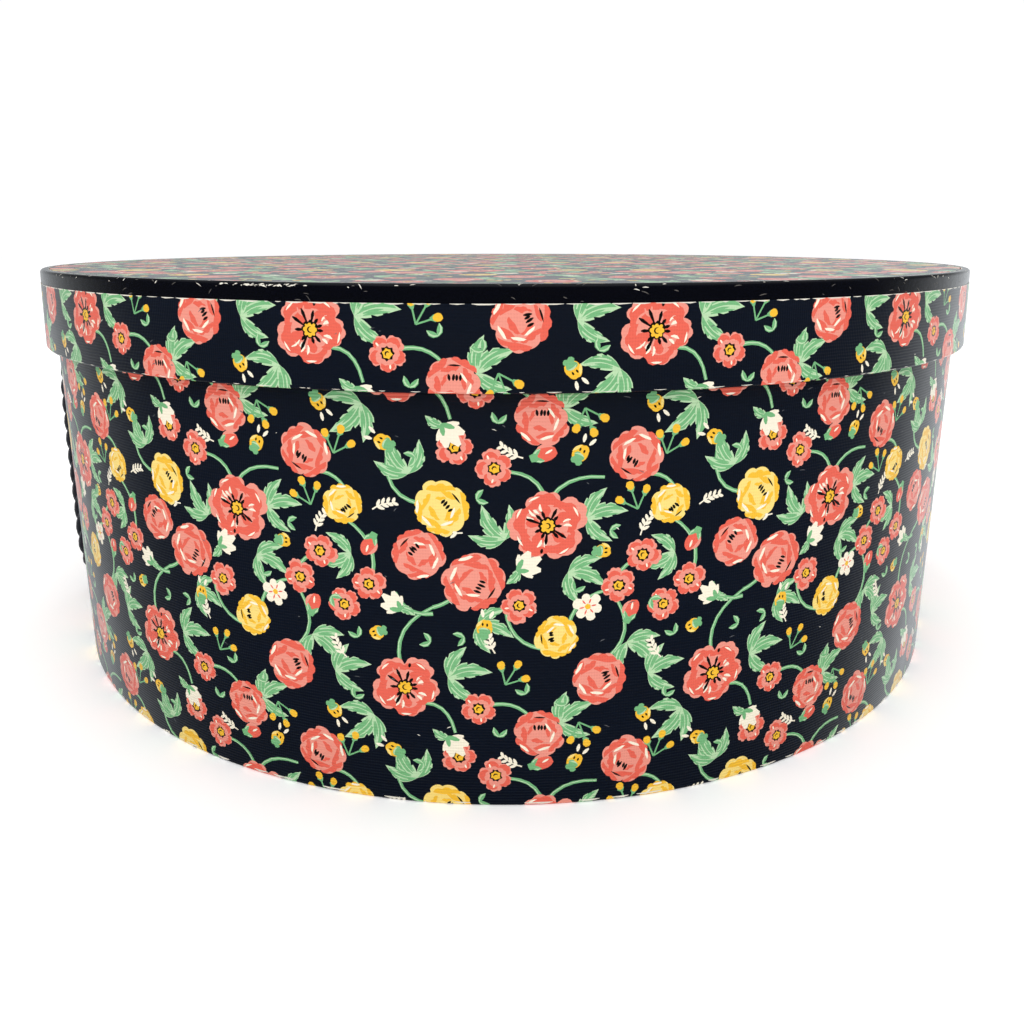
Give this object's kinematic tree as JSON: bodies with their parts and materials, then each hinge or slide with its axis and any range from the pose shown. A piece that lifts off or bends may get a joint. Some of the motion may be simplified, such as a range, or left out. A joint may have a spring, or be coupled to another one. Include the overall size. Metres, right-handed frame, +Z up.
{
  "type": "hat box",
  "caption": "Round paper-covered chipboard hat box with a lift-off lid, a bound lid edge and a twisted carrying cord through eyelets in the wall",
  "frame": {"origin": "centre of the underside, on the surface that the box stands on", "axes": "+Z up along the box's axis; -Y is the front; the cord's eyelets are near the -X and +X sides"},
  "size_m": [0.4387, 0.4264, 0.1575],
  "materials": {
    "chipboard": "raw",
    "printed_paper": "printed, semi-gloss, linen embossed",
    "lining_paper": "matte",
    "edge_tape": "glossy",
    "eyelet_metal": "satin",
    "cord": "twisted"
  },
  "bodies": {
    "box": {"body_wall_board": "chipboard", "body_cover_paper": "printed_paper", "body_lining_paper": "lining_paper", "base_board": "chipboard", "base_cover_paper": "lining_paper", "base_lining_paper": "lining_paper", "eyelet_left": "eyelet_metal", "eyelet_right": "eyelet_metal", "carrying_cord": "cord", "cord_knot_left": "cord", "cord_knot_right": "cord"},
    "lid": {"lid_top_board": "chipboard", "lid_band_board": "chipboard", "lid_top_paper": "printed_paper", "lid_band_paper": "printed_paper", "lid_edge_tape": "edge_tape", "lid_top_lining": "lining_paper", "lid_band_lining": "lining_paper"}
  },
  "joints": [
    {"name": "lid_lift", "type": "slide", "parent": "box", "child": "lid", "axis": [0, 0, 1], "range_m": [0, 0.2]}
  ]
}
